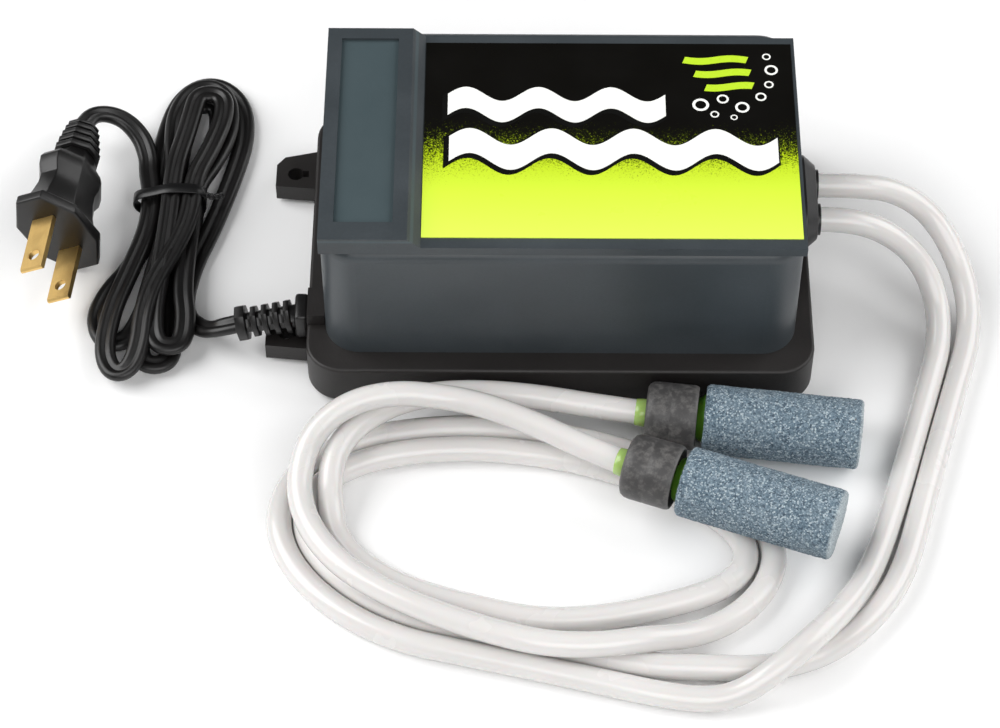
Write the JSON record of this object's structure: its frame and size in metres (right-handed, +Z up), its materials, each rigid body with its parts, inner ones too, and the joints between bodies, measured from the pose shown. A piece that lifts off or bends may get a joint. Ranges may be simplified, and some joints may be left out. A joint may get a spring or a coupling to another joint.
{
  "type": "aquarium air pump",
  "caption": "Boxy aquarium air pump on a shallow tray with screw ears, air tubes in a loose coil to weighted air stones, and a tied power cord with plug.",
  "frame": {"origin": "on the surface that the pump stands on, under the centre of its tray", "axes": "+X towards the air outlets, +Y towards the back of the pump, +Z up"},
  "size_m": [0.2509, 0.202, 0.0574],
  "materials": {
    "tray_plastic": "black moulded ABS, fine grain",
    "cover_plastic": "dark slate grey moulded ABS, satin",
    "label": "printed film, near black to lime green",
    "foot_rubber": "soft black rubber",
    "screw_steel": "zinc plated steel",
    "felt": "white wool felt",
    "outlet_rubber": "black rubber grommet, satin",
    "nozzle_plastic": "black nylon",
    "core_steel": "varnished silicon steel laminations",
    "bobbin_plastic": "natural nylon",
    "copper_wire": "enamelled copper wire, varnished",
    "plated_steel": "zinc plated steel",
    "inner_plastic": "black glass-filled nylon",
    "inner_rubber": "black nitrile rubber",
    "magnet_ferrite": "sintered ferrite",
    "inner_hose": "black rubber hose",
    "wire_sleeve": "white insulated wire",
    "cord_vinyl": "black flexible PVC, satin",
    "tie_plastic": "black plastic-covered wire",
    "blade_brass": "bare brass, rolled",
    "tube_silicone": "milky translucent silicone",
    "ring_plastic": "dark grey moulded weight, satin",
    "nipple_green": "lime green moulded plastic",
    "stone_grit": "bonded mineral grit, blue grey"
  },
  "bodies": {
    "pump_body": {"air_stones": "stone_grit", "air_tube_coil": "tube_silicone", "air_tube_front": "tube_silicone", "air_tube_rear": "tube_silicone", "base_tray": "tray_plastic", "coil_bobbin": "bobbin_plastic", "coil_core": "core_steel", "coil_leads": "wire_sleeve", "coil_winding": "copper_wire", "cord_hank": "cord_vinyl", "core_straps": "plated_steel", "cover_screws": "screw_steel", "diaphragm_left": "inner_rubber", "diaphragm_retainer_left": "inner_plastic", "diaphragm_retainer_right": "inner_plastic", "diaphragm_right": "inner_rubber", "filter_cover": "tray_plastic", "filter_felt": "felt", "frame_screws": "screw_steel", "head_body_left": "inner_plastic", "head_body_right": "inner_plastic", "head_bolts": "screw_steel", "head_cover_left": "inner_plastic", "head_cover_right": "inner_plastic", "housing_cover": "cover_plastic", "outlet_block": "outlet_rubber", "outlet_hose_left": "inner_hose", "outlet_hose_right": "inner_hose", "outlet_nozzles": "nozzle_plastic", "pivot_bridge": "inner_plastic", "pivot_pins": "plated_steel", "plug_blades": "blade_brass", "plug_body": "cord_vinyl", "plug_lead": "cord_vinyl", "plug_relief": "cord_vinyl", "power_cord": "cord_vinyl", "rubber_feet": "foot_rubber", "stone_nipples": "nipple_green", "strain_relief": "cord_vinyl", "supply_wires": "wire_sleeve", "top_label": "label", "tube_end_front": "tube_silicone", "tube_end_rear": "tube_silicone", "twist_tie": "tie_plastic", "weight_rings": "ring_plastic", "wire_splices": "plated_steel"},
    "left_arm": {"swing_arm_left": "inner_plastic", "magnet_left": "magnet_ferrite", "magnet_yoke_left": "plated_steel", "diaphragm_clamp_left": "plated_steel"},
    "left_intake_flap": {"intake_flap_left": "inner_rubber"},
    "left_exhaust_flap": {"exhaust_flap_left": "inner_rubber"},
    "right_arm": {"swing_arm_right": "inner_plastic", "magnet_right": "magnet_ferrite", "magnet_yoke_right": "plated_steel", "diaphragm_clamp_right": "plated_steel"},
    "right_intake_flap": {"intake_flap_right": "inner_rubber"},
    "right_exhaust_flap": {"exhaust_flap_right": "inner_rubber"}
  },
  "joints": [
    {"name": "left_arm_swing", "type": "hinge", "parent": "pump_body", "child": "left_arm", "pos_m": [-0.0326, 0.026, 0.016], "axis": [0, 0, 1], "range_deg": [-2, 2], "stiffness_Nm_per_rad": 0.05, "deforming": ["diaphragm_left"]},
    {"name": "left_intake_flap_hinge", "type": "hinge", "parent": "pump_body", "child": "left_intake_flap", "pos_m": [-0.0425, 0.008, 0.0166], "axis": [0, -1, 0], "range_deg": [0, 18], "stiffness_Nm_per_rad": 0.000002},
    {"name": "left_exhaust_flap_hinge", "type": "hinge", "parent": "pump_body", "child": "left_exhaust_flap", "pos_m": [-0.0455, 0.008, 0.0238], "axis": [0, 1, 0], "range_deg": [0, 18], "stiffness_Nm_per_rad": 0.000002},
    {"name": "right_arm_swing", "type": "hinge", "parent": "pump_body", "child": "right_arm", "pos_m": [0.0246, 0.026, 0.016], "axis": [0, 0, 1], "range_deg": [-2, 2], "stiffness_Nm_per_rad": 0.05, "deforming": ["diaphragm_right"]},
    {"name": "right_intake_flap_hinge", "type": "hinge", "parent": "pump_body", "child": "right_intake_flap", "pos_m": [0.0345, 0.008, 0.0166], "axis": [0, 1, 0], "range_deg": [0, 18], "stiffness_Nm_per_rad": 0.000002},
    {"name": "right_exhaust_flap_hinge", "type": "hinge", "parent": "pump_body", "child": "right_exhaust_flap", "pos_m": [0.0375, 0.008, 0.0238], "axis": [0, -1, 0], "range_deg": [0, 18], "stiffness_Nm_per_rad": 0.000002}
  ],
  "couplings": [
    {"joint": "right_arm_swing", "follows": "left_arm_swing", "ratio": -1}
  ]
}
